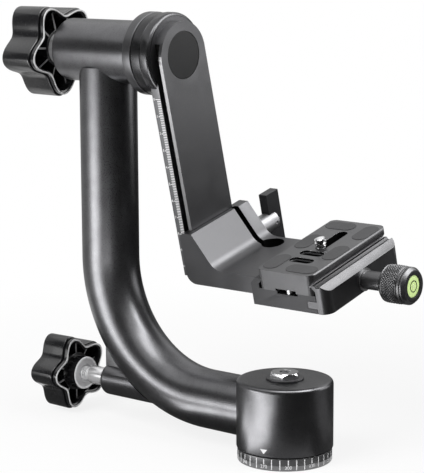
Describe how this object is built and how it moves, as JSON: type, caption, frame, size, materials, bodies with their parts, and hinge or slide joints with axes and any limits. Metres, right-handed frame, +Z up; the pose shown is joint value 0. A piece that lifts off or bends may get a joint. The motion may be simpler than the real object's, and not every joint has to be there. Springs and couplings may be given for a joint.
{
  "type": "gimbal tripod head",
  "caption": "Gimbal tripod head: curved arm on a panning base, swinging arm with ruler, sliding L bracket, dovetail clamp and camera plate, locking knobs.",
  "frame": {"origin": "centre of the mouth of the tripod thread, in the base's underside, on the pan axis", "axes": "+Z up along the pan axis, +X from the curved arm's upright towards the camera plate, the tilt axis along X"},
  "size_m": [0.2538, 0.1117, 0.2461],
  "materials": {
    "arm_paint": "cast and drawn aluminium with a fine-textured dark grey coat, satin",
    "gusset_paint": "the same dark grey coat on the flat web plate",
    "anodised": "dark grey bead-blasted anodised aluminium",
    "anodised_black": "black bead-blasted anodised aluminium",
    "knob_plastic": "glossy black moulded plastic",
    "lever_paint": "black satin coat",
    "cap_plastic": "matt black plastic",
    "hub_zinc": "bare machined metal, light grey",
    "steel": "plain zinc-plated steel",
    "chrome": "bright nickel-chrome plating",
    "bronze": "sintered bronze and brass",
    "nylon": "black nylon",
    "pad_rubber": "matt dark rubber",
    "level_liquid": "yellow-green spirit level"
  },
  "bodies": {
    "base": {"base_disc": "anodised", "degree_ring": "anodised", "spindle_screws": "steel", "pan_spindle": "steel", "pan_washer": "nylon", "bolt_washer": "anodised", "pan_bolt": "chrome"},
    "pan": {"pan_housing": "arm_paint", "pan_bushes": "bronze", "arm_tube": "arm_paint", "lock_stub": "arm_paint", "arm_gusset": "gusset_paint", "lock_bush": "chrome", "rod_guide": "bronze", "axle_tube": "arm_paint", "axle_flange": "anodised", "flange_screws": "steel", "tilt_bushes": "bronze", "friction_washer": "nylon"},
    "pan_lock_rod": {"push_rod": "steel", "brake_shoe": "bronze"},
    "pan_lock_knob": {"pan_knob": "knob_plastic", "pan_knob_hub": "hub_zinc", "pan_lock_stud": "chrome"},
    "swing": {"tilt_shaft": "anodised", "swing_arm": "anodised", "arm_screws": "steel", "arm_cap": "cap_plastic", "stop_screw": "steel"},
    "tilt_press": {"press_washer": "steel"},
    "tilt_lock_knob": {"tilt_knob": "knob_plastic", "tilt_knob_hub": "hub_zinc"},
    "carriage": {"bracket": "anodised", "clamp_body": "anodised", "clamp_screws": "steel"},
    "lever": {"lever_screw": "steel", "lever_hub": "hub_zinc", "lever_wings": "lever_paint", "lever_pin": "steel"},
    "jaw": {"clamp_jaw": "anodised_black", "guide_pins": "steel", "jaw_springs": "steel", "thrust_washer": "steel"},
    "clamp_knob": {"jaw_screw": "steel", "clamp_knob": "anodised_black", "level_bezel": "cap_plastic", "level_vial": "level_liquid"},
    "plate": {"camera_plate": "anodised", "rubber_pads": "pad_rubber", "plate_stops": "steel"},
    "screw_mount": {"screw_washer": "nylon"},
    "camera_screw": {"camera_screw": "chrome"}
  },
  "joints": [
    {"name": "pan_turn", "type": "hinge", "parent": "base", "child": "pan", "pos_m": [0, 0, 0], "axis": [0, 0, 1], "continuous": true},
    {"name": "pan_lock_travel", "type": "slide", "parent": "pan", "child": "pan_lock_rod", "axis": [-1, 0, 0], "range_m": [0, 0.00187]},
    {"name": "pan_lock_turn", "type": "hinge", "parent": "pan_lock_rod", "child": "pan_lock_knob", "pos_m": [0, 0, 0.025], "axis": [-1, 0, 0], "range_deg": [0, 540]},
    {"name": "tilt_turn", "type": "hinge", "parent": "pan", "child": "swing", "pos_m": [0, 0, 0.221], "axis": [1, 0, 0], "continuous": true},
    {"name": "tilt_lock_travel", "type": "slide", "parent": "swing", "child": "tilt_press", "axis": [-1, 0, 0], "range_m": [0, 0.00187]},
    {"name": "tilt_lock_turn", "type": "hinge", "parent": "tilt_press", "child": "tilt_lock_knob", "pos_m": [0, 0, 0.221], "axis": [-1, 0, 0], "range_deg": [0, 540]},
    {"name": "carriage_slide", "type": "slide", "parent": "swing", "child": "carriage", "axis": [0, -0.247, 0.969], "range_m": [0, 0.07]},
    {"name": "lever_turn", "type": "hinge", "parent": "carriage", "child": "lever", "pos_m": [-0.0658, 0.0649, 0.11618], "axis": [0, 0.969, 0.247], "range_deg": [0, 150]},
    {"name": "jaw_slide", "type": "slide", "parent": "carriage", "child": "jaw", "axis": [1, 0, 0], "range_m": [0, 0.00625], "deforming": ["jaw_springs"]},
    {"name": "clamp_turn", "type": "hinge", "parent": "jaw", "child": "clamp_knob", "pos_m": [0.0318, 0.03073, 0.10045], "axis": [1, 0, 0], "range_deg": [0, 1800]},
    {"name": "plate_slide", "type": "slide", "parent": "carriage", "child": "plate", "axis": [0, 0.969, 0.247], "range_m": [-0.0225, 0.0225]},
    {"name": "screw_slide", "type": "slide", "parent": "plate", "child": "screw_mount", "axis": [0, 0.969, 0.247], "range_m": [0, 0.02]},
    {"name": "screw_turn", "type": "hinge", "parent": "screw_mount", "child": "camera_screw", "pos_m": [0.0052, 0.0255, 0.11894], "axis": [0, -0.247, 0.969], "continuous": true}
  ],
  "couplings": [
    {"joint": "pan_lock_turn", "follows": "pan_lock_travel", "rad_per_m": 5026.5},
    {"joint": "tilt_lock_turn", "follows": "tilt_lock_travel", "rad_per_m": 5026.5},
    {"joint": "clamp_turn", "follows": "jaw_slide", "rad_per_m": 5026.5}
  ]
}
